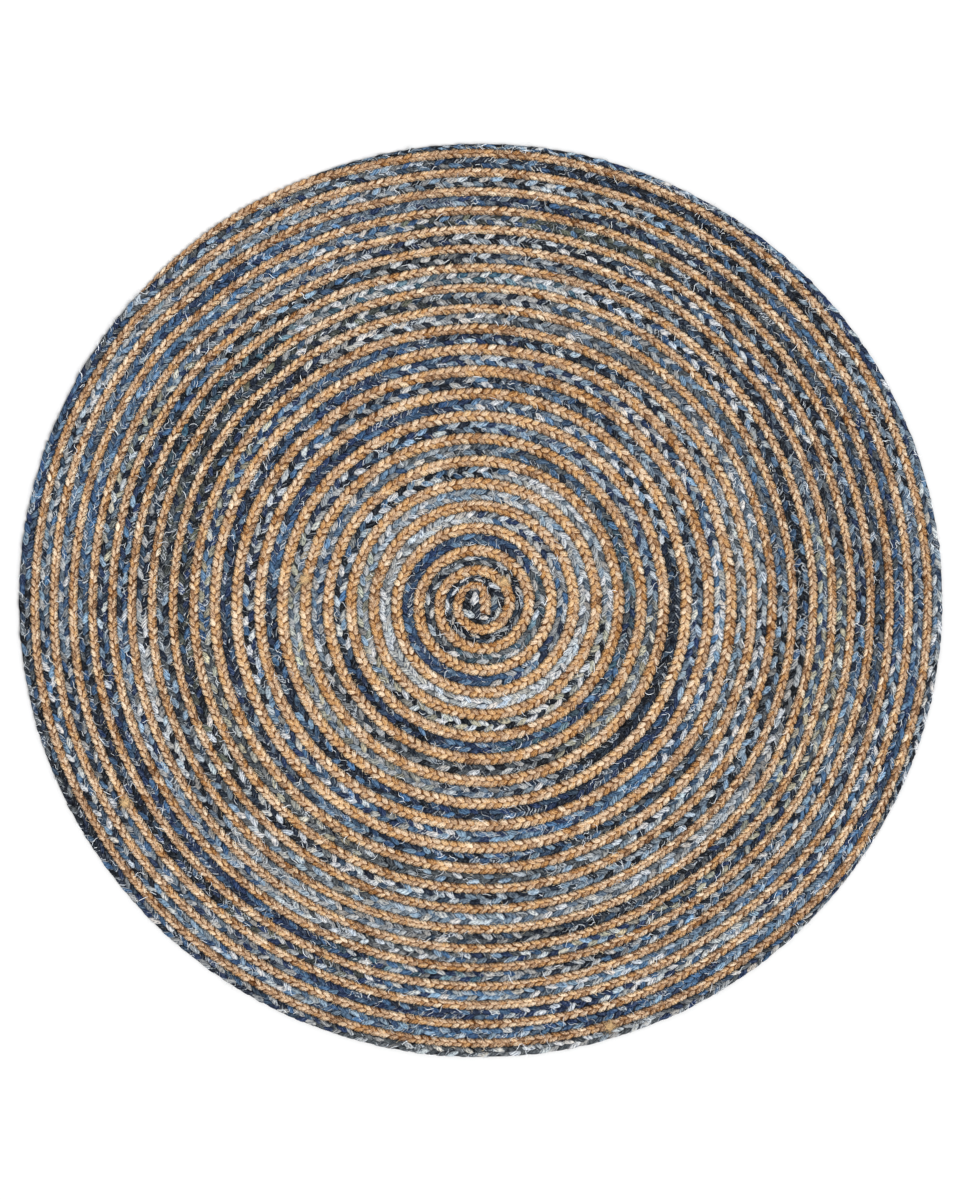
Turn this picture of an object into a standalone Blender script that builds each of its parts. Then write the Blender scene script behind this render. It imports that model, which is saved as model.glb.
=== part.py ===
# Round braided rug, lying flat: a jute braid and a denim rag braid, wound side by side from the
# middle in one flat coil and sewn together where they touch.
#
# Metres, +Z up. The origin is the middle of the underside, and +Y is the top of the photograph.
# A turn is a place along the coil: its whole part counts the laps, and its fraction is the angle
# from +X, counter-clockwise from above. At any turn the denim lies just outside the jute.

from math import cos, hypot, sin, tau

import bmesh
import bpy
from mathutils import Vector

MM = 0.001

RIM_ACROSS = 1405 * MM  # the finished width along X
RIM_DEEP = 1390 * MM  # and along Y: the rug is not quite round
HEART = Vector((0, 2 * MM))  # where the coil is centred
JUTE_THICK = 9 * MM
DENIM_THICK = 10 * MM
SIDE_LEAN = 0.2  # how far each side leans in towards the top, as a share of the width
MOST_LEAN = 3 * MM
GAP = 0.4 * MM  # between two braids, measured along a cross-section
THINNEST = 2 * MM  # a braid's end is cut where it has narrowed to this

COIL_START = 1.5  # the turn from which the coil is regular
COIL_START_RADIUS = 36.4 * MM
JUTE_START = 0.85
DENIM_START = 0.4
COIL_END = 22  # past this turn, the rim narrows each braid to nothing

# From one lap of jute to the next, from this turn on.
LAP_STEPS = (
    # turn, step
    (1.5, 29.0 * MM),
    (3.0, 34.0 * MM),
    (12.0, 31.0 * MM),
    (16.0, 28.9 * MM),
)

JUTE_WIDTHS = (
    # turn, width
    (1.5, 14.5 * MM),
    (3.0, 15.5 * MM),
    (12.0, 15.5 * MM),
    (14.5, 12.0 * MM),
    (23.0, 12.0 * MM),
)

# The laps were laid by hand: how far they lie outside the true coil.
STRAYS_FROM_TURN, STRAYS_TO_TURN = 5, 20
STRAYS = (
    # angle, near the middle, at the rim
    (0, -5.5 * MM, -3.5 * MM),
    (20, -9.5 * MM, -6.0 * MM),
    (50, -14.0 * MM, -10.0 * MM),
    (80, -15.0 * MM, -14.0 * MM),
    (102, -15.0 * MM, -14.0 * MM),
    (116, -14.5 * MM, -8.0 * MM),
    (132, -13.5 * MM, -1.5 * MM),
    (142, -11.5 * MM, 7.5 * MM),
    (158, -9.0 * MM, 9.5 * MM),
    (177, -5.0 * MM, 7.0 * MM),
    (195, -3.0 * MM, 9.0 * MM),
    (214, 0.5 * MM, 5.0 * MM),
    (246, 2.5 * MM, 1.5 * MM),
    (278, 3.0 * MM, -1.8 * MM),
    (304, 1.2 * MM, -1.0 * MM),
    (326, -2.0 * MM, 7.0 * MM),
    (345, -3.5 * MM, 0.5 * MM),
    (360, -5.5 * MM, -3.5 * MM),
)

# The first stretch of jute stands straight up the middle, then bends left into the coil.
JUTE_HEART = (
    # turn, inner edge x, y, outer edge x, y
    (0.85, 0.6 * MM, -23.5 * MM, 15.0 * MM, -23.0 * MM),
    (0.95, 0.6 * MM, -12.0 * MM, 15.8 * MM, -10.0 * MM),
    (1.05, 0.6 * MM, 1.0 * MM, 15.2 * MM, 3.5 * MM),
    (1.15, 0.2 * MM, 10.5 * MM, 10.5 * MM, 15.5 * MM),
    (1.20, -2.0 * MM, 14.5 * MM, 6.0 * MM, 21.5 * MM),
    (1.25, -6.0 * MM, 16.0 * MM, -1.5 * MM, 25.0 * MM),
    (1.30, -10.5 * MM, 16.0 * MM, -10.0 * MM, 26.0 * MM),
    (1.35, -15.5 * MM, 14.0 * MM, -19.0 * MM, 23.8 * MM),
    (1.40, -19.5 * MM, 10.5 * MM, -27.0 * MM, 18.5 * MM),
    (1.45, -22.8 * MM, 5.5 * MM, -33.5 * MM, 10.5 * MM),
)

# The denim starts in the pocket left of that stretch: its inner edge runs down beside the jute
# and round the jute's end.
DENIM_HEART = (
    # turn, inner edge x, y
    (0.40, -2.2 * MM, 13.2 * MM),
    (0.45, -0.2 * MM, 9.5 * MM),
    (0.50, -0.2 * MM, 3.0 * MM),
    (0.55, -0.2 * MM, -5.0 * MM),
    (0.60, -0.2 * MM, -12.0 * MM),
    (0.65, -0.2 * MM, -18.0 * MM),
    (0.70, -0.2 * MM, -24.2 * MM),
    (0.75, 4.0 * MM, -24.4 * MM),
    (0.80, 9.5 * MM, -24.4 * MM),
)

# Cross-sections to a lap, from this turn on. Each count is twice the last, so that a finer lap
# never cuts into the coarser one inside it.
SECTIONS = (
    # turn, sections
    (0.0, 20),
    (4.5, 40),
    (20.5, 80),
)


def row_at(rows, turn):
    """The last row of a table that starts at or before this turn."""
    return [row for row in rows if row[0] <= turn + 1e-6][-1]


def between(rows, place):
    """A table's values at a place between two of its rows."""
    for low, high in zip(rows, rows[1:]):
        if place <= high[0]:
            share = max((place - low[0]) / (high[0] - low[0]), 0)
            return [a + (b - a) * share for a, b in zip(low[1:], high[1:])]
    return list(rows[-1][1:])


def eased(rows, place):
    """The same, but with each row a smooth high or low."""
    for low, high in zip(rows, rows[1:]):
        if place <= high[0]:
            share = (place - low[0]) / (high[0] - low[0])
            share = share * share * (3 - 2 * share)
            return [a + (b - a) * share for a, b in zip(low[1:], high[1:])]
    return list(rows[-1][1:])


def coil_radius(turn):
    """The true coil's radius at the middle of the jute."""
    radius = COIL_START_RADIUS
    ends = [row[0] for row in LAP_STEPS[1:]] + [COIL_END + 2]
    for (start, step), end in zip(LAP_STEPS, ends):
        radius += max(min(turn, end) - start, 0) * step
    return radius


def stray(turn):
    near, rim = eased(STRAYS, turn % 1 * 360)
    share = (turn - STRAYS_FROM_TURN) / (STRAYS_TO_TURN - STRAYS_FROM_TURN)
    return near + (rim - near) * min(max(share, 0), 1)


def rim_radius(turn):
    """From the heart to the rug's edge, which is an ellipse about the origin."""
    x, y = cos(tau * turn), sin(tau * turn)
    across, deep = RIM_ACROSS / 2, RIM_DEEP / 2
    return across * deep / hypot(deep * x, across * y) - HEART.y * y


def ray(turn, radius):
    return HEART + Vector((cos(tau * turn), sin(tau * turn))) * radius


def jute_edges(turn):
    """The two edges of the jute braid, seen from above."""
    if turn < COIL_START - 1e-6:
        x_in, y_in, x_out, y_out = between(JUTE_HEART, turn)
        return HEART + Vector((x_in, y_in)), HEART + Vector((x_out, y_out))
    radius = coil_radius(turn) + stray(turn)
    half = between(JUTE_WIDTHS, turn)[0] / 2
    rim = rim_radius(turn)
    return ray(turn, min(radius - half, rim)), ray(turn, min(radius + half, rim))


def denim_edges(turn, jute_end):
    """The two edges of the denim braid, which fills the room between two laps of jute."""
    if turn < JUTE_START - 1e-6:
        inner = HEART + Vector(between(DENIM_HEART, turn))
    else:
        inner = jute_edges(turn)[1]
    if turn + 1 <= jute_end + 1e-6:
        outer = jute_edges(turn + 1)[0]
    else:
        outer = ray(turn, rim_radius(turn) + GAP)
    across = (outer - inner).normalized() * GAP
    if turn >= JUTE_START - 1e-6:
        inner = inner + across
    return inner, outer - across


def places(start):
    """The turns of the cross-sections, from a braid's start to past its end."""
    found = [start]
    while found[-1] < COIL_END + 1:
        count = row_at(SECTIONS, found[-1])[1]
        found.append(round(found[-1] * count + 1) / count)
    return found


def sections_of(start, edges):
    """The turn, inner edge and outer edge of each cross-section, up to where the rug's rim has
    narrowed the braid to its end."""
    found = []
    for turn in places(start):
        inner, outer = edges(turn)
        if turn > COIL_END and (outer - inner).length < THINNEST:
            break
        found.append((turn, inner, outer))
    return found


def braid(name, sections, thick, colour, collection):
    """One braid as a loft: its width changes all along, so no swept profile fits it. Its sides
    lean in, as the round shoulders of a braid do, and its underside is flat."""
    mesh = bmesh.new()
    rings = []
    for _, inner, outer in sections:
        across = outer - inner
        width = across.length
        across.normalize()
        high = thick * min(1, width / thick)
        lean = across * min(SIDE_LEAN * width, MOST_LEAN)
        corners = (
            (inner, 0),
            (outer, 0),
            (outer - lean, high),
            (inner + lean, high),
        )
        rings.append([mesh.verts.new((p.x, p.y, z)) for p, z in corners])
    for ring, following in zip(rings, rings[1:]):
        for i in range(4):
            j = (i + 1) % 4
            mesh.faces.new((ring[i], ring[j], following[j], following[i]))
    mesh.faces.new(reversed(rings[0]))
    mesh.faces.new(rings[-1])
    bmesh.ops.recalc_face_normals(mesh, faces=mesh.faces)

    data = bpy.data.meshes.new(name)
    mesh.to_mesh(data)
    mesh.free()
    data.materials.append(cloth(name, colour))
    piece = bpy.data.objects.new(name, data)
    collection.objects.link(piece)
    return piece


def cloth(name, colour):
    material = bpy.data.materials.new(name)
    material.use_nodes = True
    surface = material.node_tree.nodes["Principled BSDF"]
    surface.inputs["Base Color"].default_value = (*colour, 1)
    surface.inputs["Roughness"].default_value = 0.9
    surface.inputs["Metallic"].default_value = 0
    return material


def main():
    for old in list(bpy.data.objects):
        bpy.data.objects.remove(old)
    rug = bpy.data.collections.new("round_braided_rug")
    bpy.context.scene.collection.children.link(rug)

    jute = sections_of(JUTE_START, jute_edges)
    jute_end = jute[-1][0]
    denim = sections_of(DENIM_START, lambda turn: denim_edges(turn, jute_end))
    braid("jute_braid", jute, JUTE_THICK, (0.50, 0.31, 0.14), rug)
    braid("denim_braid", denim, DENIM_THICK, (0.11, 0.17, 0.30), rug)


main()
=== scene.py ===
# Round braided rug: a jute plait and a denim rag plait, coiled side by side and sewn together.
# Metres, +Z up. The origin is the middle of the underside, and +Y is the top of the picture.

from math import cos, hypot, radians, sin, tau

import bpy
import numpy as np
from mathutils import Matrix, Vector


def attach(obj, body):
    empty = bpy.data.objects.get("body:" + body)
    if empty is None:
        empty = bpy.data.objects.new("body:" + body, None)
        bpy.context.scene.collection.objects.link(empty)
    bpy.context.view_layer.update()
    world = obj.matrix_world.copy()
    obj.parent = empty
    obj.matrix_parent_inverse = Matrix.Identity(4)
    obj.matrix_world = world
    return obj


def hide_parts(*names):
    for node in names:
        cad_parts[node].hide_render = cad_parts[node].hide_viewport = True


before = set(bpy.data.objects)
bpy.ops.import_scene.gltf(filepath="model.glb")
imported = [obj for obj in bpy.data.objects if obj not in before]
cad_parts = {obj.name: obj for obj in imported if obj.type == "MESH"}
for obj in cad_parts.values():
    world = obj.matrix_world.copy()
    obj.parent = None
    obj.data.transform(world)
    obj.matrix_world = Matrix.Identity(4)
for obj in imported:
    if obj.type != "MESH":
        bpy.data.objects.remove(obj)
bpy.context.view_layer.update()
mm = 0.001


def inMm(*rows):  # a table whose first column is a turn or an angle, and the rest millimetres
    return [(row[0], *(value * mm for value in row[1:])) for row in rows]


# Where the two plaits run. A turn counts laps from the heart; its fraction is the angle from +X,
# counter-clockwise from above. At any turn the denim lies just outside the jute.

coil = {
    "across": 1405 * mm,
    "deep": 1390 * mm,  # the rug is not quite round
    "drawnIn": 1.5 * mm,  # the rim's strands bulge past its edge, so the edge lies inside
    "drawnMost": radians(150),  # the side where it lies furthest in
    "drawnSwing": 0.8,  # how much more than on the whole, and how much less opposite
    "heart": Vector((0, 2 * mm)),
    "start": 1.5,  # from this turn on the coil is regular
    "startRadius": 36.4 * mm,
    "end": 22,  # past this turn the rim narrows each plait to nothing
    "thinnest": 2 * mm,
    "gap": 0.4 * mm,
    "gapFrom": 0.8,  # the denim's inner gap opens here
    "flow": 0.05,  # turns over which one stretch runs into the next
    "samples": 360,  # to a lap
    "lapSteps": inMm(
        # turn, from one lap of jute to the next
        (1.5, 29.0),
        (3.0, 34.0),
        (12.0, 31.0),
        (16.0, 28.9),
    ),
    "juteWidths": inMm(
        # turn, width
        (1.5, 14.5),
        (3.0, 15.5),
        (12.0, 15.5),
        (14.5, 12.0),
        (23.0, 12.0),
    ),
    "straysFrom": 5,
    "straysTo": 20,
    "strays": inMm(
        # angle, and how far outside the true coil the laps lie: near the middle, at the rim
        (0, -5.5, -3.5),
        (20, -9.5, -6.0),
        (50, -14.0, -10.0),
        (80, -15.0, -14.0),
        (102, -15.0, -14.0),
        (116, -14.5, -8.0),
        (132, -13.5, -1.5),
        (142, -11.5, 7.5),
        (158, -9.0, 9.5),
        (177, -5.0, 7.0),
        (195, -3.0, 9.0),
        (214, 0.5, 5.0),
        (246, 2.5, 1.5),
        (278, 3.0, -1.8),
        (304, 1.2, -1.0),
        (326, -2.0, 7.0),
        (345, -3.5, 0.5),
        (360, -5.5, -3.5),
    ),
    "juteHeart": inMm(
        # turn, inner edge x, y, outer edge x, y
        (0.85, 0.6, -23.5, 15.0, -23.0),
        (0.95, 0.6, -12.0, 15.8, -10.0),
        (1.05, 0.6, 1.0, 15.2, 3.5),
        (1.15, 0.2, 10.5, 10.5, 15.5),
        (1.20, -2.0, 14.5, 6.0, 21.5),
        (1.25, -6.0, 16.0, -1.5, 25.0),
        (1.30, -10.5, 16.0, -10.0, 26.0),
        (1.35, -15.5, 14.0, -19.0, 23.8),
        (1.40, -19.5, 10.5, -27.0, 18.5),
        (1.45, -22.8, 5.5, -33.5, 10.5),
    ),
    "denimHeart": inMm(
        # turn, inner edge x, y
        (0.40, -2.2, 13.2),
        (0.45, -0.2, 9.5),
        (0.50, -0.2, 3.0),
        (0.55, -0.2, -5.0),
        (0.60, -0.2, -12.0),
        (0.65, -0.2, -18.0),
        (0.70, -0.2, -24.2),
        (0.75, 4.0, -24.4),
        (0.80, 9.5, -24.4),
    ),
}


def eased(share):
    return share * share * (3 - 2 * share)


def between(rows, place, ease=lambda share: share):
    # a table's values at a place between two of its rows
    for low, high in zip(rows, rows[1:]):
        if place <= high[0]:
            share = ease(max((place - low[0]) / (high[0] - low[0]), 0))
            return [a + (b - a) * share for a, b in zip(low[1:], high[1:])]
    return list(rows[-1][1:])


def flowing(rows, place):
    # the same on one smooth curve through all the rows
    last = len(rows) - 1
    i = max([n for n in range(last) if rows[n][0] <= place] or [0])
    low, high = rows[i], rows[i + 1]
    before, after = rows[max(i - 1, 0)], rows[min(i + 2, last)]
    step = high[0] - low[0]
    t = min(max((place - low[0]) / step, 0), 1)
    found = []
    for k in range(1, len(low)):
        leaving = (high[k] - before[k]) / (high[0] - before[0]) * step
        arriving = (after[k] - low[k]) / (after[0] - low[0]) * step
        found.append(
            (2 * t**3 - 3 * t**2 + 1) * low[k]
            + (t**3 - 2 * t**2 + t) * leaving
            + (3 * t**2 - 2 * t**3) * high[k]
            + (t**3 - t**2) * arriving
        )
    return found


def coilRadius(turn):  # at the middle of the jute, in the true coil
    radius = coil["startRadius"]
    ends = [row[0] for row in coil["lapSteps"][1:]] + [coil["end"] + 2]
    for (start, step), end in zip(coil["lapSteps"], ends):
        radius += max(min(turn, end) - start, 0) * step
    return radius


def strayAt(turn):
    near, rim = between(coil["strays"], turn % 1 * 360, eased)
    share = (turn - coil["straysFrom"]) / (coil["straysTo"] - coil["straysFrom"])
    return near + (rim - near) * min(max(share, 0), 1)


def rimRadius(turn):
    x, y = cos(tau * turn), sin(tau * turn)
    across, deep = coil["across"] / 2, coil["deep"] / 2
    swing = coil["drawnSwing"] * cos(tau * turn - coil["drawnMost"])
    drawn = coil["drawnIn"] * (1 + swing)
    return across * deep / hypot(deep * x, across * y) - coil["heart"].y * y - drawn


def onRay(turn, radius):
    return coil["heart"] + Vector((cos(tau * turn), sin(tau * turn))) * radius


def coilEdges(turn):
    radius = coilRadius(turn) + strayAt(turn)
    half = between(coil["juteWidths"], turn)[0] / 2
    rim = rimRadius(turn)
    return onRay(turn, min(radius - half, rim)), onRay(turn, min(radius + half, rim))


def juteEdges(turn):
    if turn >= coil["start"]:
        return coilEdges(turn)
    joined = list(coil["juteHeart"])
    for ahead in (coil["start"], coil["start"] + coil["flow"]):
        inner, outer = (edge - coil["heart"] for edge in coilEdges(ahead))
        joined.append((ahead, *inner, *outer))
    xIn, yIn, xOut, yOut = flowing(joined, turn)
    return coil["heart"] + Vector((xIn, yIn)), coil["heart"] + Vector((xOut, yOut))


def denimEdges(turn, juteEnd):
    juteStart = coil["juteHeart"][0][0]
    if turn >= juteStart:
        inner = juteEdges(turn)[1]
    else:
        joined = list(coil["denimHeart"])
        for ahead in (juteStart, juteStart + coil["flow"]):
            joined.append((ahead, *(juteEdges(ahead)[1] - coil["heart"])))
        inner = coil["heart"] + Vector(flowing(joined, turn))
    if turn + 1 <= juteEnd:
        outer = juteEdges(turn + 1)[0]
    else:
        outer = onRay(turn, rimRadius(turn) + coil["gap"])
    across = (outer - inner).normalized() * coil["gap"]
    opening = min(max((turn - coil["gapFrom"]) / coil["flow"], 0), 1)
    return inner + across * opening, outer - across


class Course:  # one plait's way round the coil: its two edges, measured along its middle

    def __init__(self, start, edges):
        turns, inner, outer = [], [], []
        count = round((coil["end"] + 1 - start) * coil["samples"])
        for turn in (start + n / coil["samples"] for n in range(count)):
            a, b = edges(turn)
            if turn > coil["end"] and (b - a).length < coil["thinnest"]:
                break
            turns.append(turn)
            inner.append(a)
            outer.append(b)
        self.turns = np.array(turns)
        self.inner, self.outer = np.array(inner), np.array(outer)
        middle = (self.inner + self.outer) / 2
        steps = np.linalg.norm(np.diff(middle, axis=0), axis=1)
        self.ways = np.gradient(middle, axis=0)
        self.ways /= np.linalg.norm(self.ways, axis=1)[:, None]
        self.places = np.concatenate(([0], np.cumsum(steps)))
        self.length = self.places[-1]
        self.widths = np.linalg.norm(self.outer - self.inner, axis=1)

    def widthAt(self, place):
        return np.interp(place, self.places, self.widths)

    def turnAt(self, place):
        return np.interp(place, self.places, self.turns)

    def at(self, place, side):
        # the point this far along; side runs from -1 at the inner edge to 1 at the outer one
        inner = [np.interp(place, self.places, self.inner[:, k]) for k in (0, 1)]
        outer = [np.interp(place, self.places, self.outer[:, k]) for k in (0, 1)]
        share = (side + 1) / 2
        beyond = place - np.clip(place, 0, self.length)  # past either end it runs straight on
        way = np.where(place[..., None] < self.length / 2, self.ways[0], self.ways[-1])
        return [
            a + (b - a) * share + beyond * way[..., k]
            for k, (a, b) in enumerate(zip(inner, outer))
        ]


juteCourse = Course(coil["juteHeart"][0][0], juteEdges)
juteEnd = juteCourse.turns[-1]
denimCourse = Course(
    coil["denimHeart"][0][0], lambda turn: denimEdges(turn, juteEnd)
)
print(f"coil: {juteCourse.length:.1f} m of jute, {denimCourse.length:.1f} m of denim")


# Node materials. A Signal is one socket that Python sums and products can be written with.


class Signal:
    def __init__(self, look, socket):
        self.look, self.socket = look, socket

    def maths(self, operation, other=0.0, flipped=False):
        pair = (other, self) if flipped else (self, other)
        return self.look.node("ShaderNodeMath", {"operation": operation}, *pair)

    def __add__(self, other):
        return self.maths("ADD", other)

    def __sub__(self, other):
        return self.maths("SUBTRACT", other)

    def __mul__(self, other):
        return self.maths("MULTIPLY", other)

    def __truediv__(self, other):
        return self.maths("DIVIDE", other)

    def __rsub__(self, other):
        return self.maths("SUBTRACT", other, flipped=True)

    __radd__, __rmul__ = __add__, __mul__


class Look:  # a material under construction
    def __init__(self, name):
        self.material = bpy.data.materials.new(name)
        self.material.use_nodes = True
        self.tree = self.material.node_tree
        self.shader = self.tree.nodes["Principled BSDF"]

    def node(self, kind, settings=None, *values, output=0, **named):
        made = self.tree.nodes.new(kind)
        for key, value in (settings or {}).items():
            if key == "stops":
                ramp = made.color_ramp.elements
                while len(ramp) < len(value):
                    ramp.new(0.5)
                for stop, (place, colour) in zip(ramp, value):
                    stop.position, stop.color = place, (*linear(colour), 1)
            else:
                setattr(made, key, value)
        for key, value in [*enumerate(values), *named.items()]:
            self.feed(made.inputs[key], value)
        return Signal(self, made.outputs[output])

    def feed(self, socket, value):
        if isinstance(value, Signal):
            self.tree.links.new(value.socket, socket)
        elif value is not None:
            socket.default_value = value

    def attribute(self, name, output="Fac"):
        settings = {"attribute_name": name}
        return self.node("ShaderNodeAttribute", settings, output=output)

    def map(self, name):
        return self.node("ShaderNodeUVMap", {"uv_map": name})

    def stretched(self, vector, *scale):
        return self.node("ShaderNodeMapping", None, Vector=vector, Scale=scale)

    def noise(self, vector, detail, roughness):
        settings = {"Scale": 1.0, "Detail": detail, "Roughness": roughness}
        return self.node("ShaderNodeTexNoise", None, Vector=vector, **settings)

    def ramp(self, factor, stops):
        return self.node("ShaderNodeValToRGB", {"stops": stops}, factor)

    def mix(self, factor, a, b, how="MIX"):
        a, b = (x if isinstance(x, Signal) else (*linear(x), 1) for x in (a, b))
        made = self.tree.nodes.new("ShaderNodeMix")
        made.data_type, made.blend_type = "RGBA", how
        for index, value in ((0, factor), (6, a), (7, b)):
            self.feed(made.inputs[index], value)
        return Signal(self, made.outputs[2])

    def step(self, value, low, high):  # 0 below low, 1 above high, smooth between
        return self.node(
            "ShaderNodeMapRange",
            {"interpolation_type": "SMOOTHSTEP"},
            Value=value,
            **{"From Min": low, "From Max": high},
        )

    def finish(self, colour, roughness, height=None, bump=0.3, reach=0.4 * mm, **own):
        self.feed(self.shader.inputs["Base Color"], colour)
        self.feed(self.shader.inputs["Roughness"], roughness)
        if height is not None:
            normal = self.node(
                "ShaderNodeBump", None, Strength=bump, Distance=reach, Height=height
            )
            self.feed(self.shader.inputs["Normal"], normal)
        for name, value in own.items():
            self.shader.inputs[name].default_value = value
        return self.material


softShine = {"Specular IOR Level": 0.1}


def linear(colour):  # from the colours that a picture editor shows
    return [c / 12.92 if c <= 0.04045 else ((c + 0.055) / 1.055) ** 2.4 for c in colour]


# One crossing of a plait, modelled once: a strand comes up at the plait's edge, crowns and dives
# under the next strand at the middle. In the blank, X runs along the strand from -1 to 1,
# Y across it and Z up, each to be scaled when it is laid.


def pick(piece, wanted):  # leaves the piece in edit mode with these vertices selected
    bpy.ops.object.mode_set(mode="OBJECT")
    mesh = piece.data
    mesh.edges.foreach_set("select", [False] * len(mesh.edges))
    mesh.polygons.foreach_set("select", [False] * len(mesh.polygons))
    for vertex in mesh.vertices:
        vertex.select = wanted(vertex.co)
    bpy.ops.object.mode_set(mode="EDIT")


def near(value, place):  # for one number or an array of them
    return abs(value - place) < 1e-3


def newGrid(name, along, across):
    bpy.ops.object.select_all(action="DESELECT")
    bpy.ops.mesh.primitive_grid_add(
        x_subdivisions=along, y_subdivisions=across, size=2, calc_uvs=True
    )
    piece = bpy.context.object
    piece.name = name
    return piece


def modelCrossing(name, shape):
    rows, columns = shape["rows"], shape["columns"]
    piece = newGrid(name, len(rows) - 1, len(columns) - 1)
    for n, (_, height) in enumerate(columns):  # the strand's round back
        y = -1 + 2 * n / (len(columns) - 1)
        pick(piece, lambda co: near(co.y, y))
        bpy.ops.transform.translate(value=(0, 0, height))
    for n, (_, width, crown, _) in enumerate(rows):  # plump in the middle, drawn in at the ends
        x = -1 + 2 * n / (len(rows) - 1)
        pick(piece, lambda co: near(co.x, x))
        bpy.ops.transform.resize(value=(1, width, crown), center_override=(x, 0, 0))
    for n, (_, _, _, lift) in enumerate(rows):
        x = -1 + 2 * n / (len(rows) - 1)
        pick(piece, lambda co: near(co.x, x))
        bpy.ops.transform.translate(value=(0, 0, lift))
    bpy.ops.object.mode_set(mode="OBJECT")
    # last the rows slide to where the shape bends most
    places = [row[0] for row in rows]
    for vertex in piece.data.vertices:
        even = (vertex.co.x + 1) / 2 * (len(places) - 1)
        vertex.co.x = np.interp(even, range(len(places)), places)
    return piece


class Blank:  # what laying copies need to know of a modelled piece
    def __init__(self, piece):
        mesh = piece.data
        self.points = np.array([v.co for v in mesh.vertices])
        self.corners = [list(face.vertices) for face in mesh.polygons]
        flat = [i for corners in self.corners for i in corners]
        self.vertexOf = np.array(flat)
        self.sizes = np.array([len(corners) for corners in self.corners])
        layer = mesh.uv_layers.active.data if mesh.uv_layers else None
        self.uv = np.zeros((len(self.points), 2))
        for loop in mesh.loops if layer else ():
            self.uv[loop.vertex_index] = layer[loop.index].uv
        bpy.data.objects.remove(piece)


def joinedMesh(name, blank, points, turned=None):
    # points is copies x vertices x 3; the copies that turned marks have their faces flipped
    copies, each = points.shape[:2]
    order = blank.vertexOf
    flipped = np.concatenate(
        [corners[::-1] for corners in np.split(order, np.cumsum(blank.sizes)[:-1])]
    )
    if turned is None:
        turned = np.zeros(copies, bool)
    loops = np.where(turned[:, None], flipped, order) + np.arange(copies)[:, None] * each
    sizes = np.tile(blank.sizes, copies)
    mesh = bpy.data.meshes.new(name)
    mesh.vertices.add(copies * each)
    mesh.vertices.foreach_set("co", points.ravel().astype(np.float32))
    mesh.loops.add(loops.size)
    mesh.loops.foreach_set("vertex_index", loops.ravel().astype(np.int32))
    mesh.polygons.add(len(sizes))
    starts = np.concatenate(([0], np.cumsum(sizes)[:-1]))
    mesh.polygons.foreach_set("loop_start", starts.astype(np.int32))
    mesh.update(calc_edges=True)
    mesh.validate()
    mesh.shade_smooth()
    piece = bpy.data.objects.new(name, mesh)
    bpy.context.scene.collection.objects.link(piece)
    return piece


def addMap(piece, name, places):  # places is copies x vertices x 2
    mesh = piece.data
    vertexOf = np.empty(len(mesh.loops), np.int32)
    mesh.loops.foreach_get("vertex_index", vertexOf)
    layer = mesh.uv_layers.new(name=name)
    layer.uv.foreach_set("vector", places.reshape(-1, 2)[vertexOf].astype(np.float32).ravel())


def addValue(piece, name, values):  # one number, or one colour, for each vertex
    kind, key = ("FLOAT", "value") if values.ndim == 2 else ("FLOAT_COLOR", "color")
    if values.ndim == 3:
        values = np.concatenate([values, np.ones((*values.shape[:2], 1))], axis=2)
    made = piece.data.attributes.new(name, kind, "POINT")
    made.data.foreach_set(key, values.ravel().astype(np.float32))


def cells(blank, copies):
    # a square of the baked map for each copy, with a small margin round it
    columns = int(np.ceil(np.sqrt(copies)))
    rows = int(np.ceil(copies / columns))
    index = np.arange(copies)
    corner = np.stack([index % columns, index // columns], axis=1)
    inside = 0.05 + 0.9 * blank.uv
    return (corner[:, None] + inside) / (columns, rows)


# Each plait: how its strands lie, how they are shaped, and what they are made of.

juteLook = {
    "pitches": (
        # turn, from one crossing to the next in its row
        (0, 11.6 * mm),
        (4, 12.4 * mm),
        (12, 12.9 * mm),
        (16, 13.5 * mm),
    ),
    "reach": 0.50,  # how far forward a strand runs from the edge to the middle, in pitches
    "overlap": 1.17,
    "early": 0.42,  # how far before the plait's start the first crossing begins, in pitches
    "edge": 1.22,  # where a strand comes up, as a share of half the width
    "tip": 0.20,  # and how far past the middle it dives
    "grain": radians(38),  # from the plait's run to the fibre's
    "sway": radians(6),
    "thick": 9.4 * mm,
    "thickFrom": 9 * mm,  # the CAD braid, whose height falls where it is narrower than this
    "looseness": 0.15,
    "crumple": 0.07,
    "seed": 11,
    "toneRun": 0.6,  # metres over which the fibre's tone drifts
    "tone": (0.58, 0.53),  # at the heart and at the rim
    "toneSpread": (0.11, 0.14),
    "toneDrift": 0.08,
    "toneSeed": 3,
    "bleach": (0.42, 0.85),
    "bleachSpread": 0.5,
    "rows": (
        # along the strand, width, height, lift
        (-1.0, 0.62, 0.40, 0.18),
        (-0.74, 0.92, 0.62, 0.24),
        (-0.25, 1.02, 0.72, 0.26),
        (0.28, 1.00, 0.68, 0.28),
        (0.70, 0.80, 0.50, 0.24),
        (1.0, 0.42, 0.20, 0.16),
    ),
    # across the strand, height
    "columns": ((-1.0, 0.12), (-0.6, 0.83), (0.0, 1.00), (0.6, 0.83), (1.0, 0.12)),
}

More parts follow.
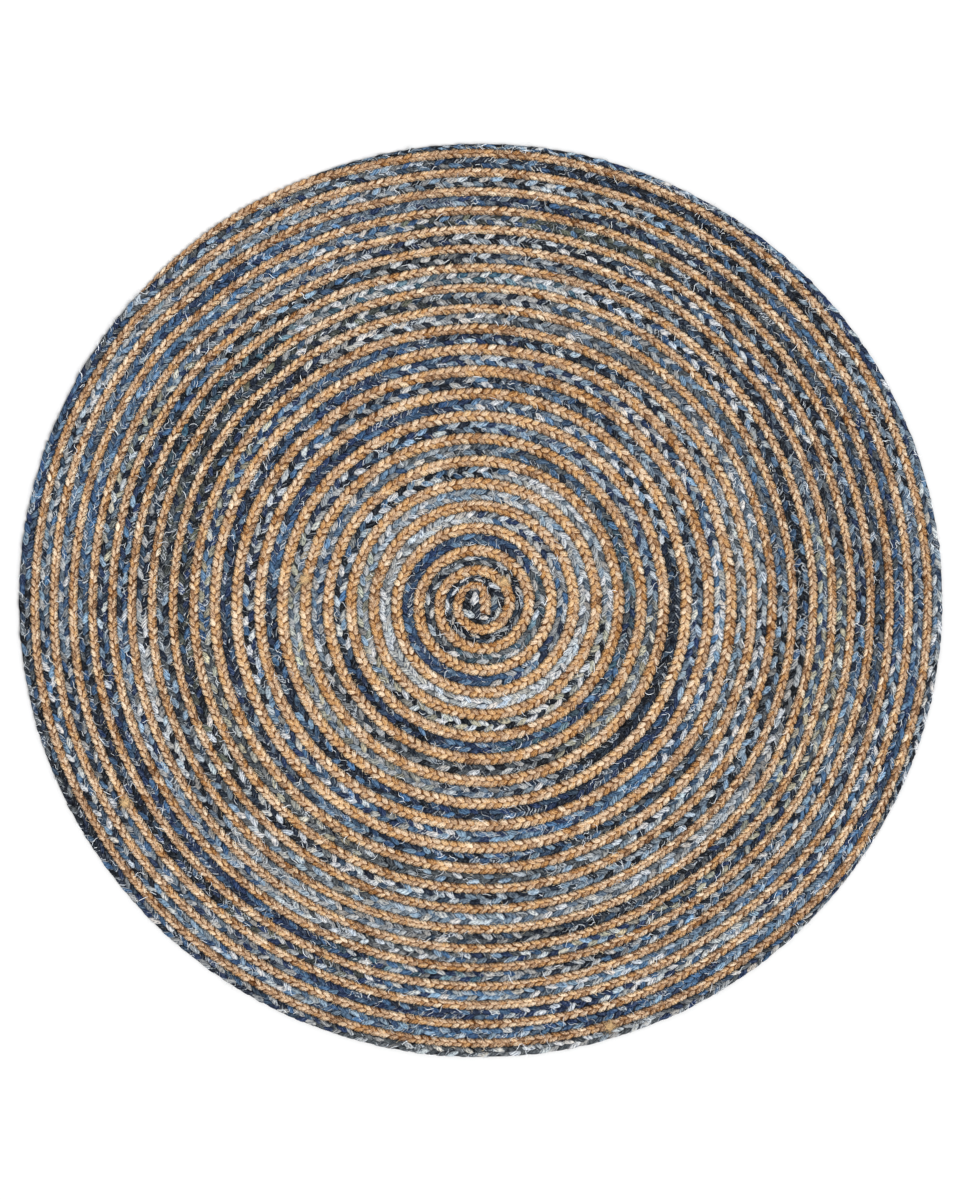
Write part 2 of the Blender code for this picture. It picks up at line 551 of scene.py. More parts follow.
denimLook = {
    "pitches": ((0, 14.5 * mm), (3, 15.5 * mm), (23, 15.5 * mm)),
    "reach": 0.66,
    "overlap": 1.22,
    "early": 0.5,
    "edge": 1.05,
    "tip": 0.26,
    "grain": radians(40),
    "sway": radians(11),
    "thick": 10.4 * mm,
    "thickFrom": 10 * mm,
    "looseness": 0.22,
    "crumple": 0.10,
    "seed": 23,
    "strip": (0.2, 0.9),  # metres from one rag to the next in a strand
    "turnedOver": 0.3,  # how often a rag shows its paler back
    "firstCloths": (0, 9, 1),  # the three strands' rags at the heart
    "clothSeed": 5,
    "fade": (1.12, 0.38),  # each crossing's own lightness: its mean and spread
    "fadeLimits": (0.3, 1.9),
    "palest": 0.87,
    "tint": 0.05,  # how far single crossings turn bluer or warmer
    "rows": (
        (-1.0, 0.74, 0.26, 0.24),
        (-0.74, 0.98, 0.42, 0.38),
        (-0.25, 1.08, 0.48, 0.49),
        (0.30, 0.98, 0.48, 0.46),
        (0.72, 0.68, 0.40, 0.34),
        (1.0, 0.24, 0.18, 0.20),
    ),
    "columns": ((-1.0, 0.10), (-0.66, 0.84), (-0.1, 1.00), (0.55, 0.88), (1.0, 0.10)),
    "cloths": (
        # face, back, twill, and how often in the grey, pale, dark, blue, stark and varied mixes
        ((0.04, 0.05, 0.08), (0.14, 0.17, 0.21), 0.05, 17, 3, 14, 9, 18, 12),  # black
        ((0.05, 0.09, 0.16), (0.19, 0.27, 0.35), 0.07, 14, 5, 18, 14, 14, 13),  # ink
        ((0.07, 0.16, 0.31), (0.23, 0.36, 0.49), 0.10, 2, 2, 19, 17, 7, 8),  # navy
        ((0.12, 0.27, 0.42), (0.37, 0.50, 0.62), 0.15, 1, 3, 11, 14, 5, 6),  # indigo
        ((0.18, 0.20, 0.20), (0.40, 0.41, 0.41), 0.25, 18, 6, 10, 8, 6, 10),  # charcoal
        ((0.23, 0.40, 0.55), (0.49, 0.61, 0.70), 0.20, 1, 4, 7, 10, 4, 5),  # mid blue
        ((0.28, 0.37, 0.45), (0.50, 0.58, 0.64), 0.35, 15, 12, 8, 10, 6, 10),  # steel
        ((0.53, 0.63, 0.71), (0.75, 0.80, 0.84), 0.25, 5, 15, 4, 7, 5, 8),  # sky
        ((0.66, 0.66, 0.65), (0.79, 0.78, 0.76), 0.25, 12, 22, 6, 7, 12, 13),  # ash
        ((0.91, 0.92, 0.90), (0.82, 0.84, 0.84), 0.10, 11, 22, 3, 5, 19, 14),  # chalk
        ((0.72, 0.70, 0.60), (0.76, 0.75, 0.69), 0.15, 3, 4, 4, 2, 3, 5),  # sand
        ((0.19, 0.20, 0.15), (0.38, 0.39, 0.31), 0.15, 2, 1, 3, 3, 2, 4),  # moss
        ((0.10, 0.29, 0.36), (0.40, 0.53, 0.58), 0.20, 0, 1, 1, 1, 0, 1),  # teal
    ),
    # from this turn on, which of those mixes
    "laps": ((0, 0), (2, 2), (4, 1), (5.2, 4), (6.2, 2), (9, 3), (12, 5), (17, 3)),
}


def drift(places, run, rng):  # a smooth random course between -1 and 1
    knots = np.arange(0, places.max() + 2 * run, run)
    return np.interp(places, knots, rng.uniform(-1, 1, len(knots)))


laying = {
    "ahead": 0.56,  # from a crossing's start to the middle of its strand, in pitches
    "tail": 0.6,  # the room that the last crossing needs, in pitches
    "innermost": -0.6,  # how far past the plait's middle a strand may dive
    "outermost": 0.02,  # and how far past its edge it may bulge
    "shuffle": 0.4,  # of the looseness, sideways
    "pressed": 0.7,  # of the looseness, downwards
}


class Crossings:  # where each crossing of a plait lies, and which strand it is
    def __init__(self, course, look):
        rng = np.random.default_rng(look["seed"])
        places, pitches = [], []
        place = -look["early"] * look["pitches"][0][1]
        while True:
            pitch = between(look["pitches"], float(course.turnAt(place)))[0]
            if place + (look["reach"] + laying["tail"]) * pitch > course.length:
                break
            places.append(place)
            pitches.append(pitch)
            place += pitch / 2 * (1 + look["looseness"] * rng.uniform(-1, 1))
        self.course, self.look, self.rng = course, look, rng
        self.places, self.pitches = np.array(places), np.array(pitches)
        self.order = np.arange(len(places))
        self.side = np.where(self.order % 2 == 0, 1, -1)
        self.strand = self.order % 3

    def lay(self, blank, chosen):
        # the blank's vertices at the chosen crossings, and each one's place on its strand
        look, rng, pitch = self.look, self.rng, self.pitches[chosen][:, None]
        one, loose = (len(chosen), 1), look["looseness"]
        along, across, up = blank.points.T
        start = self.places[chosen][:, None]
        width = self.course.widthAt(start)
        half = pitch / 2 * look["overlap"] * rng.uniform(1 - loose, 1 + loose, one)
        reach = pitch / 2 * look["reach"] * rng.uniform(1 - loose, 1 + loose, one)
        travel = (look["edge"] + look["tip"]) * width / 4
        forward = reach * along + across * half
        inward = travel * along
        grain = look["grain"]
        onStrand = [forward * cos(grain) + inward * sin(grain)]
        onStrand += [inward * cos(grain) - forward * sin(grain)]
        onStrand = np.stack(onStrand, axis=2) + rng.uniform(0, 40, (*one, 2))
        sway = rng.normal(0, look["sway"], one)
        onward = start + pitch * (laying["ahead"] + look["reach"] / 2)
        onward = onward + forward * np.cos(sway) - inward * np.sin(sway)
        inward = inward * np.cos(sway) + forward * np.sin(sway)
        side = (look["edge"] - look["tip"]) / 2 - inward / width * 2
        side = side.clip(laying["innermost"], look["edge"] + laying["outermost"])
        side = self.side[chosen][:, None] * side
        side = side + laying["shuffle"] * loose * rng.uniform(-1, 1, one)
        crumple = look["crumple"] * rng.uniform(-1, 1, side.shape) * (up > 0.4)
        high = look["thick"] * np.minimum(1, width / look["thickFrom"])
        z = high * (up + crumple) * rng.uniform(1 - laying["pressed"] * loose, 1, one)
        x, y = self.course.at(onward, side)
        return np.stack([x, y, z], axis=2), onStrand


# How low each point of a crossing lies: the materials paint shade by it, darker the lower.
def grooveOf(blank):  # 1 down between the strands, 0 on their backs
    up = blank.points[:, 2]
    return 1 - (up - up.min()) / np.ptp(up)


def layStrands(crossings, blank, name, node, material, extras):
    made = []
    for strand in range(3):
        for side, row in ((1, "outer"), (-1, "inner")):
            chosen = np.flatnonzero(
                (crossings.strand == strand) & (crossings.side == side)
            )
            points, onStrand = crossings.lay(blank, chosen)
            turned = np.full(len(chosen), side > 0)
            pieceName = f"{name}_strand_{strand + 1}_{row}"
            piece = joinedMesh(pieceName, blank, points, turned)
            addMap(piece, "OFBake", cells(blank, len(chosen)))
            addMap(piece, "strand", onStrand)
            groove = np.broadcast_to(grooveOf(blank), points.shape[:2])
            addValue(piece, "groove", groove)
            rim = np.abs(2 * blank.uv[:, 1] - 1)  # 1 along both edges of the strand
            addValue(piece, "rim", np.broadcast_to(rim, points.shape[:2]))
            for key, values in extras.items():
                one = values[chosen][:, None]
                shape = (len(chosen), len(blank.points), *one.shape[2:])
                addValue(piece, key, np.broadcast_to(one, shape))
            piece.data.materials.append(material)
            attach(piece, "root")
            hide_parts(node)
            made.append(piece)
    return made


def fibre(look, strand, tone, bleach):  # jute: its colour and its relief
    streaks = look.noise(look.stretched(strand, 110, 1500, 1), 3, 0.6)
    tufts = look.noise(look.stretched(strand, 130, 820, 1), 2, 0.6)
    blotch = look.noise(look.stretched(strand, 90, 160, 1), 1, 0.5)
    grain = look.noise(look.stretched(strand, 380, 700, 1), 2, 0.7)
    shade = tone + (streaks - 0.5) * 1.3 + (tufts - 0.5) * 1.4 + (grain - 0.5) * 1.5
    golden = look.ramp(
        shade,
        (
            (0.0, (0.38, 0.23, 0.11)),
            (0.22, (0.62, 0.41, 0.22)),
            (0.5, (0.81, 0.62, 0.41)),
            (0.75, (0.90, 0.75, 0.56)),
            (1.0, (0.98, 0.89, 0.75)),
        ),
    )
    pale = look.ramp(
        shade,
        (
            (0.0, (0.32, 0.22, 0.15)),
            (0.22, (0.56, 0.42, 0.31)),
            (0.5, (0.79, 0.65, 0.52)),
            (0.75, (0.91, 0.80, 0.68)),
            (1.0, (1.0, 0.95, 0.85)),
        ),
    )
    bleach = look.step(bleach + (blotch - 0.5) * 1.5, 0.1, 0.9)
    return look.mix(bleach, golden, pale), streaks * 0.6 + tufts * 0.4


def rag(look, strand, cloth, contrast, slant, edge):  # denim: its colour and its relief
    split = look.node("ShaderNodeSeparateXYZ", None, strand)
    along, across = split, Signal(look, split.socket.node.outputs[1])
    rough = look.noise(look.stretched(strand, 900, 900, 1), 2, 0.6)
    wander = look.noise(look.stretched(strand, 120, 120, 1), 1, 0.5)
    line = (across + along * slant) / (0.95 * mm) + wander * 1.2
    twill = (line * tau).maths("SINE") * 0.5 + 0.5
    twill = look.step(twill * 0.75 + rough * 0.5, 0.35, 0.85)
    light = look.mix(contrast, cloth, (0.80, 0.83, 0.86), "SCREEN")
    dark = look.mix(contrast, cloth, (0.10, 0.12, 0.17), "MULTIPLY")
    colour = look.mix(twill, dark, light)
    creases = look.noise(look.stretched(strand, 160, 600, 1), 2, 0.55)
    # The creases give the bump, and also painted shade in their folds and a painted highlight on
    # their ridges.
    foldShade, ridge = look.step(creases, 0.60, 0.34), look.step(creases, 0.53, 0.74)
    colour = look.mix(foldShade, colour, (0.40, 0.44, 0.51), "MULTIPLY")
    colour = look.mix(ridge, colour, (0.33, 0.36, 0.39), "SCREEN")
    worn = look.noise(look.stretched(strand, 300, 420, 1), 3, 0.7)
    frayed = look.step(edge + worn + rough * 0.25, 1.0, 1.1)
    colour = look.mix(frayed * 0.85, colour, (0.86, 0.89, 0.92))
    return colour, creases * 0.6 + twill * 0.2 + rough * 0.2


def juteFibre():
    look = Look("jute_fibre")
    tone, bleach = look.attribute("tone"), look.attribute("bleach")
    colour, height = fibre(look, look.map("strand"), tone, bleach)
    # Painted shade: darker brown down between the strands, and a darker painted shade line along
    # each strand's edges where its neighbours meet it.
    deep = look.step(look.attribute("groove"), 0.55, 1.0)
    between = look.step(look.attribute("rim"), 0.62, 0.84)
    colour = look.mix(deep * 0.6, colour, (0.40, 0.25, 0.13))
    colour = look.mix(between * 0.75, colour, (0.28, 0.16, 0.09))
    return look.finish(colour, 0.85, height, 0.7, 0.5 * mm, **softShine)


def denimCloth():
    look = Look("denim_cloth")
    rim, torn = look.attribute("rim"), look.attribute("torn")
    colour, height = rag(
        look,
        look.map("strand"),
        look.attribute("cloth", "Color"),
        look.attribute("contrast"),
        look.attribute("slant"),
        look.step(rim, 0.50, 0.75) * 0.28 + torn * 0.38,
    )
    # Painted shade: near-black down between the strands, and a painted shade line along each
    # strand's edges where its neighbours meet it.
    deep = look.step(look.attribute("groove"), 0.5, 0.95)
    between = look.step(rim, 0.62, 0.84)
    colour = look.mix(deep * 0.8, colour, (0.05, 0.07, 0.12))
    colour = look.mix(between * 0.7, colour, (0.04, 0.05, 0.09))
    return look.finish(colour, 0.9, height, 0.6, 0.6 * mm, **softShine)


juteBlank = Blank(modelCrossing("jute_crossing", juteLook))
denimBlank = Blank(modelCrossing("denim_crossing", denimLook))

juteCrossings = Crossings(juteCourse, juteLook)
rng = np.random.default_rng(juteLook["toneSeed"])
juteTurns = juteCourse.turnAt(juteCrossings.places) / coil["end"]


def outwards(key):  # a value of the jute's at each crossing, from the heart to the rim
    return np.interp(juteTurns, (0, 1), juteLook[key])


juteTone = juteLook["toneDrift"] * drift(juteCrossings.places, juteLook["toneRun"], rng)
juteTone += outwards("tone")
juteTone += rng.normal(0, 1, len(juteTone)) * outwards("toneSpread")
bleachSpread = juteLook["bleachSpread"]
juteBleach = outwards("bleach") + rng.uniform(-bleachSpread, bleachSpread, len(juteTone))
jutePieces = layStrands(
    juteCrossings,
    juteBlank,
    "jute",
    "jute_braid",
    juteFibre(),
    {"tone": juteTone, "bleach": juteBleach},
)
print(f"jute: {len(juteCrossings.places)} crossings")

denimCrossings = Crossings(denimCourse, denimLook)


def clothsAlong(course, places, strands, look):
    # which rag each crossing is made of: one after another in each strand, chosen by lap
    rng = np.random.default_rng(look["seed"] + 1)
    shares = np.array([row[3:] for row in look["cloths"]], float)
    picked = np.zeros(len(places), int)
    for strand in range(3):
        mine = np.flatnonzero(strands == strand)
        start, last = -10 * mm, -1
        while start < course.length:
            end = start + rng.uniform(*look["strip"])
            turn = float(course.turnAt(start))
            mixed = [mix for lap, mix in look["laps"] if lap <= turn + 1e-6][-1]
            odds = shares[:, mixed].copy()
            odds[last] = 0
            if last < 0:
                last = look["firstCloths"][strand]
            else:
                last = rng.choice(len(odds), p=odds / odds.sum())
            picked[mine[(places[mine] >= start) & (places[mine] < end)]] = last
            start = end
    return picked


clothIndex = clothsAlong(
    denimCourse, denimCrossings.places, denimCrossings.strand, denimLook
)
faces = np.array([linear(row[0]) for row in denimLook["cloths"]])
backs = np.array([linear(row[1]) for row in denimLook["cloths"]])
contrasts = np.array([row[2] for row in denimLook["cloths"]])
rng = np.random.default_rng(denimLook["clothSeed"])
over = rng.random(len(clothIndex)) < denimLook["turnedOver"]
clothColour = np.where(over[:, None], backs[clothIndex], faces[clothIndex])
fade = rng.normal(*denimLook["fade"], (len(clothIndex), 1)).clip(*denimLook["fadeLimits"])
tint = rng.normal(0, denimLook["tint"], (len(clothIndex), 1)) * (-1, 0, 1)
clothColour = (clothColour * fade).clip(0, denimLook["palest"]) * (1 + tint)


def strandCloths(crossings, colours):
    # for each crossing, the colour that each of the three strands has there
    found = {}
    for strand in range(3):
        mine = np.flatnonzero(crossings.strand == strand)
        nearest = np.searchsorted(mine, crossings.order).clip(0, len(mine) - 1)
        found[f"cloth_{strand + 1}"] = colours[mine[nearest]]
    return found


denimPieces = layStrands(
    denimCrossings,
    denimBlank,
    "denim",
    "denim_braid",
    denimCloth(),
    {
        "cloth": clothColour,
        "contrast": contrasts[clothIndex],
        "slant": rng.uniform(-0.5, 0.5, len(clothIndex)),
        "torn": rng.random(len(clothIndex)) ** 2,
    },
)
print(f"denim: {len(denimCrossings.places)} crossings")


# Sewing thread, rag ends and loose fibre: thin ridged ribbons, strewn or run along the seams.

sewing = {
    "pitch": 5.0 * mm,
    "reach": 2.3 * mm,  # onto each plait
    "half": 0.36 * mm,  # of the thread's width
    "ridge": 0.35 * mm,
    "lift": 9.2 * mm,
    "looseness": 0.3,
    "colour": (0.05, 0.05, 0.07),
    "outsideJuteFrom": 0.86,  # the turns at which the two seams begin
    "outsideDenimFrom": 0.42,
}

ragEnds = {
    "count": 3400,
    "over": 0.85,  # how far across the plait they lie
    "length": (5 * mm, 17 * mm),
    "half": (0.16 * mm, 0.38 * mm),
    "curl": 0.3,
    "turn": 0.8,  # radians off the plait's own run
    "lift": 10.1 * mm,
    "ridge": 0.4 * mm,
    "colour": (0.90, 0.92, 0.94),
    "seed": 31,
}

looseFibre = {
    "count": 5200,
    "over": 1.25,
    "length": (4 * mm, 13 * mm),
    "half": (0.09 * mm, 0.24 * mm),
    "curl": 0.4,
    "turn": 0.9,
    "lift": 9.4 * mm,
    "ridge": 0.1 * mm,
    "colour": (0.95, 0.87, 0.73),
    "seed": 37,
}

joins = {
    # where a new bundle of fibre was laid into the jute, it stands out as a tuft
    "first": (37.9 * mm, 28.6 * mm),
    "others": 3,
    "fibres": 170,
    "spread": 4.0 * mm,
    "clear": 0.3,  # metres from either end of the plait
    "side": 0.4,  # across the plait
    "turn": 0.5,
    "length": (5 * mm, 13 * mm),
    "half": (0.09 * mm, 0.16 * mm),
    "curl": 0.5,
    "lift": 9.9 * mm,
    "ridge": 0.2 * mm,
    "colour": (0.86, 0.74, 0.56),
    "seed": 41,
}


strewing = {
    "clear": (10 * mm, 50 * mm),  # of the plait's start and of its end
    "sag": (0.4 * mm, 1.6 * mm),  # at a thread's two ends
    "rise": 0.6 * mm,  # how much higher some threads lie
}


def modelRibbon(name, lengths, tip=1):  # with a ridge along it, and drawn in at its ends
    piece = newGrid(name, lengths, 2)
    pick(piece, lambda co: near(co.y, 0))
    bpy.ops.transform.translate(value=(0, 0, 1))
    if tip < 1:
        pick(piece, lambda co: near(abs(co.x), 1))
        bpy.ops.transform.resize(value=(1, tip, 1), center_override=(0, 0, 0))
    bpy.ops.object.mode_set(mode="OBJECT")
    return piece


def plainLook(name, colour, spread=0.0, roughness=0.85):
    look = Look(name)
    if not spread:
        return look.finish((*linear(colour), 1), roughness)
    tone = look.attribute("tone")
    low, high = ([c * k for c in colour] for k in (1 - spread, 1 + spread))
    return look.finish(look.mix(tone, low, high), roughness)


def seamCourse(name):
    def edges(turn):
        if name == "outside_jute":
            within, beyond = juteEdges(turn), denimEdges(turn, juteEnd)
        else:
            within, beyond = denimEdges(turn, juteEnd), juteEdges(turn + 1)
        a, b = within[1], beyond[0]
        room = min((a - within[0]).length, (b - beyond[1]).length)
        across = (b - a).normalized() if (b - a).length > 1e-6 else Vector((1, 0))
        reach = min(sewing["reach"], 0.4 * room)
        middle = (a + b) / 2
        return middle - across * reach, middle + across * reach

    start = "outsideJuteFrom" if name == "outside_jute" else "outsideDenimFrom"
    return Course(sewing[start], edges)


def sewSeam(name, course, material):
    blank = Blank(modelRibbon("tooth", 2))  # one tooth: over to one braid and back
    rng = np.random.default_rng(len(name))
    count = int(course.length / sewing["pitch"])
    start = np.arange(count)[:, None] * sewing["pitch"]
    along = (blank.points[:, 0] + 1) / 2  # 0, a half and 1: the tooth's two feet and its tip
    loose = sewing["looseness"]
    tip = near(along, 0.5)
    reach = np.where(tip, 1, -1) * rng.uniform(1 - loose, 1, (count, 1))
    shift = loose * sewing["pitch"] * rng.uniform(-0.5, 0.5, (count, 1)) * tip
    place = start + along * sewing["pitch"] + shift + blank.points[:, 1] * sewing["half"]
    x, y = course.at(place, reach)
    z = sewing["lift"] + sewing["ridge"] * blank.points[:, 2] - 0.4 * mm * loose
    z = np.broadcast_to(z, x.shape)
    piece = joinedMesh(name, blank, np.stack([x, y, z], 2))
    piece.data.materials.append(material)
    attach(piece, "root")
    return piece


def strew(name, centre, heading, look, slot, material):
    # loose threads: each a ribbon that bows a little and sags at both ends
    blank = Blank(modelRibbon("thread", 5, tip=0.4))
    rng = np.random.default_rng(look["seed"] + 1)
    one = (len(heading), 1)
    length = rng.uniform(*look["length"], one)
    curl = rng.normal(0, look["curl"], one)
    wave = rng.normal(0, look["curl"] * 0.5, one)
    half = rng.uniform(*look["half"], one)
    along, across, up = blank.points.T
    bow = length * (curl * (1 - along**2) + wave * np.sin(along * 4)) / 2
    forward = length / 2 * along
    side = bow + across * half
    x = centre[0] + forward * np.cos(heading) - side * np.sin(heading)
    y = centre[1] + forward * np.sin(heading) + side * np.cos(heading)
    sag = rng.uniform(*strewing["sag"], one)
    z = look["lift"] + look["ridge"] * up - sag * along**2
    z = z + rng.uniform(0, strewing["rise"], one)
    piece = joinedMesh(name, blank, np.stack([x, y, z], 2))
    addMap(piece, "OFBake", cells(blank, len(heading)))
    addValue(piece, "tone", np.broadcast_to(rng.random(one), x.shape))
    piece.data.materials.append(material)
    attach(piece, "root")
    return piece


def headingAt(course, place, side):
    here, ahead = course.at(place, side), course.at(place + 3 * mm, side)
    return np.arctan2(ahead[1] - here[1], ahead[0] - here[0])


def spreadOver(course, look):  # centres and headings for threads all along a plait
    rng = np.random.default_rng(look["seed"])
    one = (look["count"], 1)
    first, last = strewing["clear"]
    place = rng.uniform(first, course.length - last, one)
    side = np.sin(rng.uniform(-tau / 4, tau / 4, one)) * look["over"]  # most near the edges
    heading = headingAt(course, place, side) + rng.normal(0, look["turn"], one)
    return course.at(place, side), heading


def atJoins(course):
    rng = np.random.default_rng(joins["seed"])
    clear = joins["clear"]
    places = rng.uniform(clear, course.length - clear, (joins["others"], 1))
    middles = np.stack([c[:, 0] for c in course.at(places, joins["side"])], axis=1)
    middles = np.concatenate([[joins["first"]], middles])
    middles = np.repeat(middles, joins["fibres"], axis=0)
    one = (len(middles), 1)
    angle, out = rng.uniform(0, tau, one), np.abs(rng.normal(0, joins["spread"], one))
    x, y = middles[:, :1] + np.cos(angle) * out, middles[:, 1:] + np.sin(angle) * out
    return (x, y), angle + rng.normal(0, joins["turn"], one)


blackThread = plainLook("black_thread", sewing["colour"])
seamThreads = [
    sewSeam(f"sewing_{seam}", seamCourse(seam), blackThread)
    for seam in ("outside_jute", "outside_denim")
]
ragThreads = strew(
    "denim_rag_ends",
    *spreadOver(denimCourse, ragEnds),
    ragEnds,
    "denim",
    plainLook("rag_end", ragEnds["colour"], 0.25),
)
juteHairs = strew(
    "jute_loose_fibre",
    *spreadOver(juteCourse, looseFibre),
    looseFibre,
    "jute",
    plainLook("loose_fibre", looseFibre["colour"], 0.2),
)
juteTufts = strew(
    "jute_joins",
    *atJoins(juteCourse),
    joins,
    "jute",
    plainLook("join_fibre", joins["colour"], 0.25),
)
print("sewn")


# The core of each plait, under its strands: it fills the room between them and is the flat
# underside that the rug lies on; its top and sides, seen between the strands, carry painted
# shade.
# The crossings below are only drawn, by colour and bump, with painted shade along their edges.

core = {
    "sections": 1500,
    "section": (
        # side to side from -1 to 1, height as a share of the thickness, counter-clockwise
        (-0.80, 0.00),
        (0.80, 0.00),
        (1.01, 0.12),
        (1.01, 0.38),
        (0.72, 0.58),
        (-0.72, 0.58),
        (-1.01, 0.38),
        (-1.01, 0.12),
    ),
    # where the section's points lie across the baked map, and last its first point again
    "mapSides": (-0.8, 0.8, 0.9, 0.99, 1.12, 1.6, 1.78, 1.92, 2.05),
}


def modelCore(name):
    # one length of the core, repeated and closed at both ends; X counts the lengths
    ring = core["section"]
    bpy.ops.object.select_all(action="DESELECT")
    bpy.ops.mesh.primitive_cylinder_add(
        vertices=len(ring), radius=1, depth=1, end_fill_type="NOTHING"
    )
    piece = bpy.context.object
    piece.name = name
    bpy.ops.object.mode_set(mode="EDIT")
    bpy.ops.mesh.select_all(action="SELECT")
    bpy.ops.transform.rotate(
        value=radians(90), orient_axis="Y", center_override=(0, 0, 0)
    )
    bpy.ops.transform.translate(value=(0.5, 0, 0))
    bpy.ops.object.mode_set(mode="OBJECT")
    ends = sorted(
        (v for v in piece.data.vertices), key=lambda v: (v.co.x > 0.5, v.index)
    )
    for n, vertex in enumerate(ends):
        side, high = ring[n % len(ring)]
        vertex.co = (round(vertex.co.x), side, high)
    repeat = piece.modifiers.new("lengths", "ARRAY")
    repeat.count = core["sections"]
    repeat.use_relative_offset = False
    repeat.use_constant_offset = True
    repeat.constant_offset_displace = (1, 0, 0)
    repeat.use_merge_vertices = True
    repeat.merge_threshold = 1e-3
    bpy.ops.object.modifier_apply(modifier=repeat.name)
    for x in (0, core["sections"]):
        pick(piece, lambda co: near(co.x, x))
        bpy.ops.mesh.edge_face_add()
    bpy.ops.mesh.select_all(action="SELECT")
    bpy.ops.mesh.normals_make_consistent(inside=False)
    bpy.ops.object.mode_set(mode="OBJECT")
    return piece


def bakedCore(piece, course, place, ring):
    # the underside keeps its true shape in the baked map; the other faces lie beside it,
    # narrowed, in the room that the other plait's laps leave
    mesh = piece.data
    corners = np.empty(len(mesh.loops), np.int32)
    mesh.loops.foreach_get("vertex_index", corners)
    ringOf, placeOf = ring[corners], place[corners]
    sides, section = np.array(core["mapSides"]), np.array(core["section"])
    count = len(section)
    side, push = sides[ringOf], np.zeros(len(corners))
    for face in mesh.polygons:
        loops = slice(face.loop_start, face.loop_start + face.loop_total)
        if face.loop_total == count:  # the two ends, unfolded forwards and backwards
            side[loops] = section[ringOf[loops], 0]
            high = section[ringOf[loops], 1] * 10 * mm
            push[loops] = np.where(placeOf[loops] > course.length / 2, high, -high)
        elif 0 in ringOf[loops] and count - 1 in ringOf[loops]:
            first = ringOf[loops] == 0
            side[loops] = np.where(first, sides[count], side[loops])
    spot = np.stack(course.at(placeOf, side), 1)
    spot += np.where(placeOf[:, None] > 0, course.ways[-1], course.ways[0]) * push[:, None]
    low, high = spot.min(0), spot.max(0)
    layer = mesh.uv_layers.new(name="OFBake")
    flat = 0.01 + 0.98 * (spot - low) / (high - low).max()
    layer.uv.foreach_set("vector", flat.astype(np.float32).ravel())


def layCore(name, crossings, thick, node, material, extras):
    piece, course = modelCore(name), crossings.course
    mesh = piece.data
    points = np.array([v.co for v in mesh.vertices])
    section = np.array(core["section"])
    ring = np.abs(points[:, None, 1:] - section).sum(2).argmin(1)
    # the inner laps bend more, so their sections stand closer
    shares = np.linspace(0, 1, core["sections"] + 1) ** 1.3
    place = np.interp(points[:, 0], range(core["sections"] + 1), shares * course.length)
    x, y = course.at(place, points[:, 1])
    width = course.widthAt(place)
    z = points[:, 2] * thick * np.minimum(1, width / thick)
    mesh.vertices.foreach_set("co", np.stack([x, y, z], 1).ravel().astype(np.float32))
    bpy.ops.object.mode_set(mode="EDIT")
    bpy.ops.mesh.select_all(action="SELECT")
    bpy.ops.mesh.normals_make_consistent(inside=False)
    bpy.ops.object.mode_set(mode="OBJECT")
    while mesh.uv_layers:
        mesh.uv_layers.remove(mesh.uv_layers[0])
    bakedCore(piece, course, place, ring)
    addMap(piece, "strand", np.stack([place, points[:, 1] * width / 2], 1))
    nearest = np.interp(place, crossings.places, crossings.order)
    addValue(piece, "order", nearest[:, None])
    addValue(piece, "side", points[:, 1:2])
    addValue(piece, "under", (ring < 2)[:, None] * 1.0)
    for key, values in extras.items():  # one value for each crossing
        mine = values[np.clip(nearest.round().astype(int), 0, len(values) - 1)]
        addValue(piece, key, mine[:, None])
    mesh.materials.clear()
    mesh.materials.append(material)
    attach(piece, "root")
    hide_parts(node)
    return piece


def crossingsBelow(look, reach):
    # the crossings drawn on the underside: each one's number, and 1 along its edges
    order, side = look.attribute("order"), look.attribute("side")
    inner = side.maths("LESS_THAN", 0.0)
    off = side.maths("ABSOLUTE")
    run = (order + off * (2 * reach) - inner) * 0.5
    index = run.maths("FLOOR")
    edge = ((run - index) * 2 - 1).maths("ABSOLUTE")
    edge = look.step(edge, 0.62, 1.0)
    middle = look.step(off, 0.16, 0.0)
    return index * 2 + inner, edge.maths("MAXIMUM", middle)


def juteBelow():
    look = Look("jute_underside")
    number, edge = crossingsBelow(look, juteLook["reach"])
    chance = look.node("ShaderNodeTexWhiteNoise", {"noise_dimensions": "1D"}, W=number)
    strand = look.map("strand")
    colour, height = fibre(look, strand, 0.3 + chance * 0.4, chance)
    # Painted shade along each drawn crossing's edges and down the plait's middle, where strands
    # would shade each other.
    colour = look.mix(edge * 0.75, colour, (0.38, 0.24, 0.13))
    shaded = look.mix(1.0, colour, (0.60, 0.52, 0.46), "MULTIPLY")
    colour = look.mix(look.attribute("under"), shaded, colour)
    return look.finish(colour, 0.85, height * 0.3 - edge, 0.8, 0.9 * mm, **softShine)


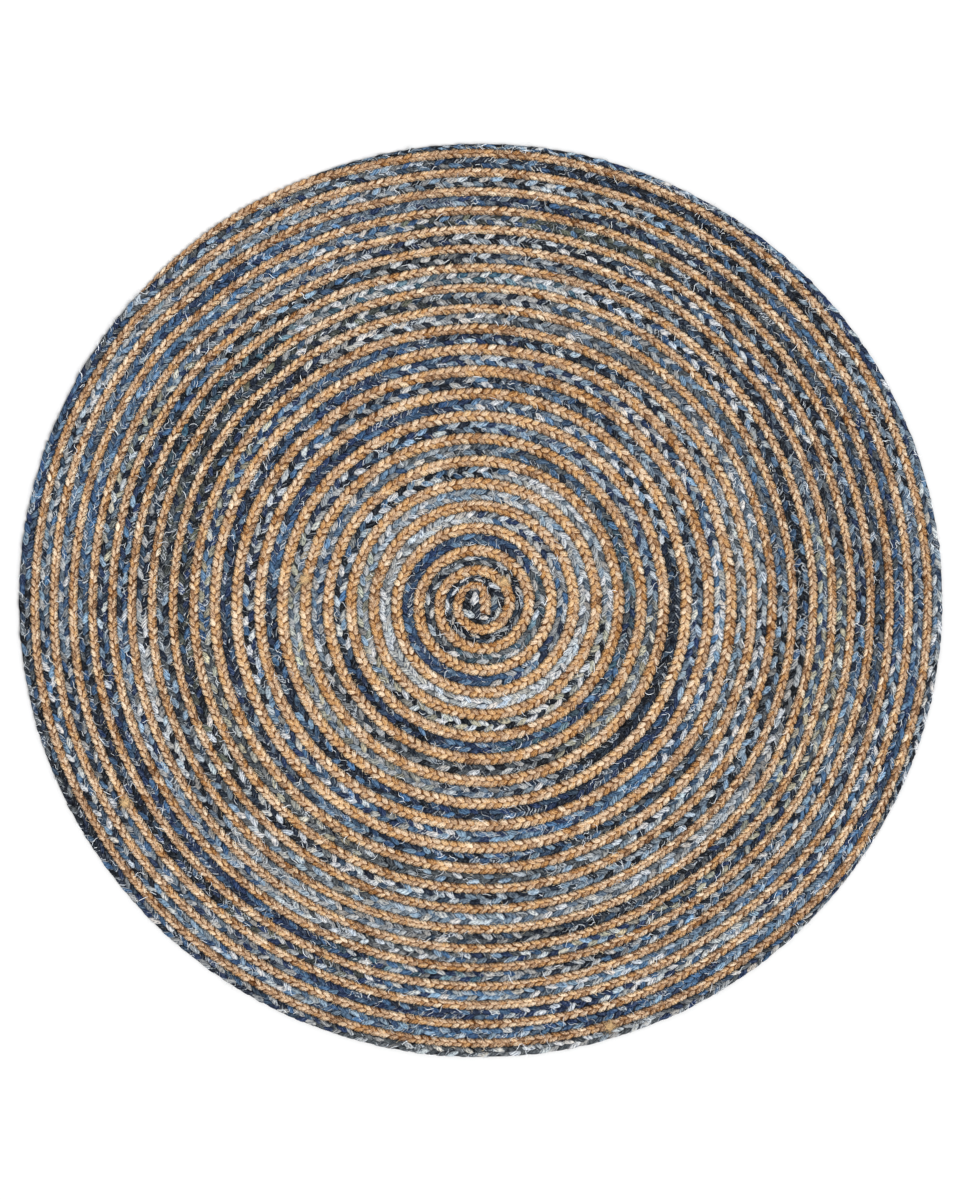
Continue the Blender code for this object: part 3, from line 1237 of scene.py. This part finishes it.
def denimBelow():
    look = Look("denim_underside")
    number, edge = crossingsBelow(look, denimLook["reach"])
    which = number.maths("FLOORED_MODULO", 3.0)
    cloth = look.mix(
        look.step(which, 0.4, 0.6),
        look.attribute("cloth_1", "Color"),
        look.attribute("cloth_2", "Color"),
    )
    cloth = look.mix(look.step(which, 1.4, 1.6), cloth, look.attribute("cloth_3", "Color"))
    chance = look.node("ShaderNodeTexWhiteNoise", {"noise_dimensions": "1D"}, W=number)
    strand = look.map("strand")
    colour, height = rag(look, strand, cloth, 0.2, 0.3, edge * 0.2 + chance * 0.3)
    # Painted shade along each drawn crossing's edges and down the plait's middle, where strands
    # would shade each other.
    colour = look.mix(edge * 0.7, colour, (0.06, 0.09, 0.14))
    shaded = look.mix(1.0, colour, (0.42, 0.44, 0.48), "MULTIPLY")
    colour = look.mix(look.attribute("under"), shaded, colour)
    return look.finish(colour, 0.9, height * 0.3 - edge, 0.8, 0.9 * mm, **softShine)


juteCore = layCore(
    "jute_core",
    juteCrossings,
    juteLook["thickFrom"],
    "jute_braid",
    juteBelow(),
    {},
)
denimCore = layCore(
    "denim_core",
    denimCrossings,
    denimLook["thickFrom"],
    "denim_braid",
    denimBelow(),
    strandCloths(denimCrossings, clothColour),
)


print("cores laid")


# The studio: a pale floor, an even sky and one soft lamp from the lower right.

studio = {
    "floor": 14.0,
    "sky": 0.62,
    "lamp": 2.0,
    "lampSize": radians(30),
    "lampTilt": radians(32),
    "lampTurn": radians(50),
    "cameraHeight": 4.0,
    "pictureHeight": 1.8246,  # metres of floor from the picture's top to its bottom
}


def setStudio():
    bpy.ops.object.select_all(action="DESELECT")
    bpy.ops.mesh.primitive_plane_add(size=studio["floor"])
    floor = bpy.context.object
    floor.name = "floor"
    paint = Look("floor_paint")
    paint.finish((0.92, 0.92, 0.92, 1), 0.9)
    floor.data.materials.append(paint.material)

    world = bpy.data.worlds.new("studio_sky")
    world.use_nodes = True
    sky = world.node_tree.nodes["Background"]
    sky.inputs["Color"].default_value = (1, 1, 1, 1)
    sky.inputs["Strength"].default_value = studio["sky"]
    bpy.context.scene.world = world

    bpy.ops.object.light_add(type="SUN", location=(0, 0, 3))
    lamp = bpy.context.object
    lamp.data.energy = studio["lamp"]
    lamp.data.angle = studio["lampSize"]
    lamp.rotation_euler = (studio["lampTilt"], 0, studio["lampTurn"])

    bpy.ops.object.camera_add(location=(0, 0, studio["cameraHeight"]))
    camera = bpy.context.object
    sensor = camera.data.sensor_width
    camera.data.lens = sensor * studio["cameraHeight"] / studio["pictureHeight"]
    bpy.context.scene.camera = camera
    bpy.context.scene.view_settings.view_transform = "Standard"


setStudio()
